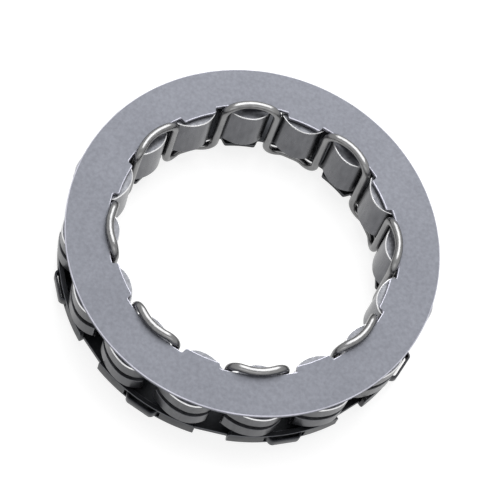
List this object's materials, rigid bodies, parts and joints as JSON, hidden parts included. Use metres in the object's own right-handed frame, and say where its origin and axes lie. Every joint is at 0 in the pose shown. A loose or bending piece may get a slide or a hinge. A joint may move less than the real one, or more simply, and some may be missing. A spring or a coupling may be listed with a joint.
{
  "type": "sprag clutch",
  "caption": "Caged ring of tilting sprags held between a ring plate and a shallow cup by one bent wire; it locks two races one way and over-runs the other way.",
  "frame": {"origin": "on the ring axis, at the plane the lower wire loops rest on", "axes": "+Z along the ring axis from the cup to the ring plate, +X through the middle of sprag_01"},
  "size_m": [0.0582, 0.0582, 0.0143],
  "materials": {
    "plate_steel": "satin",
    "cup_steel": "satin",
    "wire_steel": "polished",
    "spring_steel": "satin",
    "sprag_steel": "ground",
    "clip_steel": "blackened"
  },
  "bodies": {
    "cage": {"ring_plate": "plate_steel", "cup": "cup_steel", "retaining_wire": "wire_steel", "garter_spring": "spring_steel", "drag_clip_1": "clip_steel", "drag_clip_2": "clip_steel", "drag_clip_3": "clip_steel", "drag_clip_4": "clip_steel", "drag_clip_5": "clip_steel", "drag_clip_6": "clip_steel", "drag_clip_7": "clip_steel", "drag_clip_8": "clip_steel"},
    "sprag_01": {"sprag_01": "sprag_steel"},
    "sprag_02": {"sprag_02": "sprag_steel"},
    "sprag_03": {"sprag_03": "sprag_steel"},
    "sprag_04": {"sprag_04": "sprag_steel"},
    "sprag_05": {"sprag_05": "sprag_steel"},
    "sprag_06": {"sprag_06": "sprag_steel"},
    "sprag_07": {"sprag_07": "sprag_steel"},
    "sprag_08": {"sprag_08": "sprag_steel"},
    "sprag_09": {"sprag_09": "sprag_steel"},
    "sprag_10": {"sprag_10": "sprag_steel"},
    "sprag_11": {"sprag_11": "sprag_steel"},
    "sprag_12": {"sprag_12": "sprag_steel"},
    "sprag_13": {"sprag_13": "sprag_steel"},
    "sprag_14": {"sprag_14": "sprag_steel"},
    "sprag_15": {"sprag_15": "sprag_steel"},
    "sprag_16": {"sprag_16": "sprag_steel"}
  },
  "joints": [
    {"name": "tilt_01", "type": "hinge", "parent": "cage", "child": "sprag_01", "pos_m": [0.02447, 0, 0.0086], "axis": [0, 0, 1], "range_deg": [0, 6], "stiffness_Nm_per_rad": 0.002},
    {"name": "tilt_02", "type": "hinge", "parent": "cage", "child": "sprag_02", "pos_m": [0.0226, 0.00936, 0.0086], "axis": [0, 0, 1], "range_deg": [0, 6], "stiffness_Nm_per_rad": 0.002},
    {"name": "tilt_03", "type": "hinge", "parent": "cage", "child": "sprag_03", "pos_m": [0.0173, 0.0173, 0.0086], "axis": [0, 0, 1], "range_deg": [0, 6], "stiffness_Nm_per_rad": 0.002},
    {"name": "tilt_04", "type": "hinge", "parent": "cage", "child": "sprag_04", "pos_m": [0.00936, 0.0226, 0.0086], "axis": [0, 0, 1], "range_deg": [0, 6], "stiffness_Nm_per_rad": 0.002},
    {"name": "tilt_05", "type": "hinge", "parent": "cage", "child": "sprag_05", "pos_m": [0, 0.02447, 0.0086], "axis": [0, 0, 1], "range_deg": [0, 6], "stiffness_Nm_per_rad": 0.002},
    {"name": "tilt_06", "type": "hinge", "parent": "cage", "child": "sprag_06", "pos_m": [-0.00936, 0.0226, 0.0086], "axis": [0, 0, 1], "range_deg": [0, 6], "stiffness_Nm_per_rad": 0.002},
    {"name": "tilt_07", "type": "hinge", "parent": "cage", "child": "sprag_07", "pos_m": [-0.0173, 0.0173, 0.0086], "axis": [0, 0, 1], "range_deg": [0, 6], "stiffness_Nm_per_rad": 0.002},
    {"name": "tilt_08", "type": "hinge", "parent": "cage", "child": "sprag_08", "pos_m": [-0.0226, 0.00936, 0.0086], "axis": [0, 0, 1], "range_deg": [0, 6], "stiffness_Nm_per_rad": 0.002},
    {"name": "tilt_09", "type": "hinge", "parent": "cage", "child": "sprag_09", "pos_m": [-0.02447, 0, 0.0086], "axis": [0, 0, 1], "range_deg": [0, 6], "stiffness_Nm_per_rad": 0.002},
    {"name": "tilt_10", "type": "hinge", "parent": "cage", "child": "sprag_10", "pos_m": [-0.0226, -0.00936, 0.0086], "axis": [0, 0, 1], "range_deg": [0, 6], "stiffness_Nm_per_rad": 0.002},
    {"name": "tilt_11", "type": "hinge", "parent": "cage", "child": "sprag_11", "pos_m": [-0.0173, -0.0173, 0.0086], "axis": [0, 0, 1], "range_deg": [0, 6], "stiffness_Nm_per_rad": 0.002},
    {"name": "tilt_12", "type": "hinge", "parent": "cage", "child": "sprag_12", "pos_m": [-0.00936, -0.0226, 0.0086], "axis": [0, 0, 1], "range_deg": [0, 6], "stiffness_Nm_per_rad": 0.002},
    {"name": "tilt_13", "type": "hinge", "parent": "cage", "child": "sprag_13", "pos_m": [0, -0.02447, 0.0086], "axis": [0, 0, 1], "range_deg": [0, 6], "stiffness_Nm_per_rad": 0.002},
    {"name": "tilt_14", "type": "hinge", "parent": "cage", "child": "sprag_14", "pos_m": [0.00936, -0.0226, 0.0086], "axis": [0, 0, 1], "range_deg": [0, 6], "stiffness_Nm_per_rad": 0.002},
    {"name": "tilt_15", "type": "hinge", "parent": "cage", "child": "sprag_15", "pos_m": [0.0173, -0.0173, 0.0086], "axis": [0, 0, 1], "range_deg": [0, 6], "stiffness_Nm_per_rad": 0.002},
    {"name": "tilt_16", "type": "hinge", "parent": "cage", "child": "sprag_16", "pos_m": [0.0226, -0.00936, 0.0086], "axis": [0, 0, 1], "range_deg": [0, 6], "stiffness_Nm_per_rad": 0.002}
  ],
  "couplings": [
    {"joint": "tilt_02", "follows": "tilt_01", "ratio": 1},
    {"joint": "tilt_03", "follows": "tilt_01", "ratio": 1},
    {"joint": "tilt_04", "follows": "tilt_01", "ratio": 1},
    {"joint": "tilt_05", "follows": "tilt_01", "ratio": 1},
    {"joint": "tilt_06", "follows": "tilt_01", "ratio": 1},
    {"joint": "tilt_07", "follows": "tilt_01", "ratio": 1},
    {"joint": "tilt_08", "follows": "tilt_01", "ratio": 1},
    {"joint": "tilt_09", "follows": "tilt_01", "ratio": 1},
    {"joint": "tilt_10", "follows": "tilt_01", "ratio": 1},
    {"joint": "tilt_11", "follows": "tilt_01", "ratio": 1},
    {"joint": "tilt_12", "follows": "tilt_01", "ratio": 1},
    {"joint": "tilt_13", "follows": "tilt_01", "ratio": 1},
    {"joint": "tilt_14", "follows": "tilt_01", "ratio": 1},
    {"joint": "tilt_15", "follows": "tilt_01", "ratio": 1},
    {"joint": "tilt_16", "follows": "tilt_01", "ratio": 1}
  ]
}
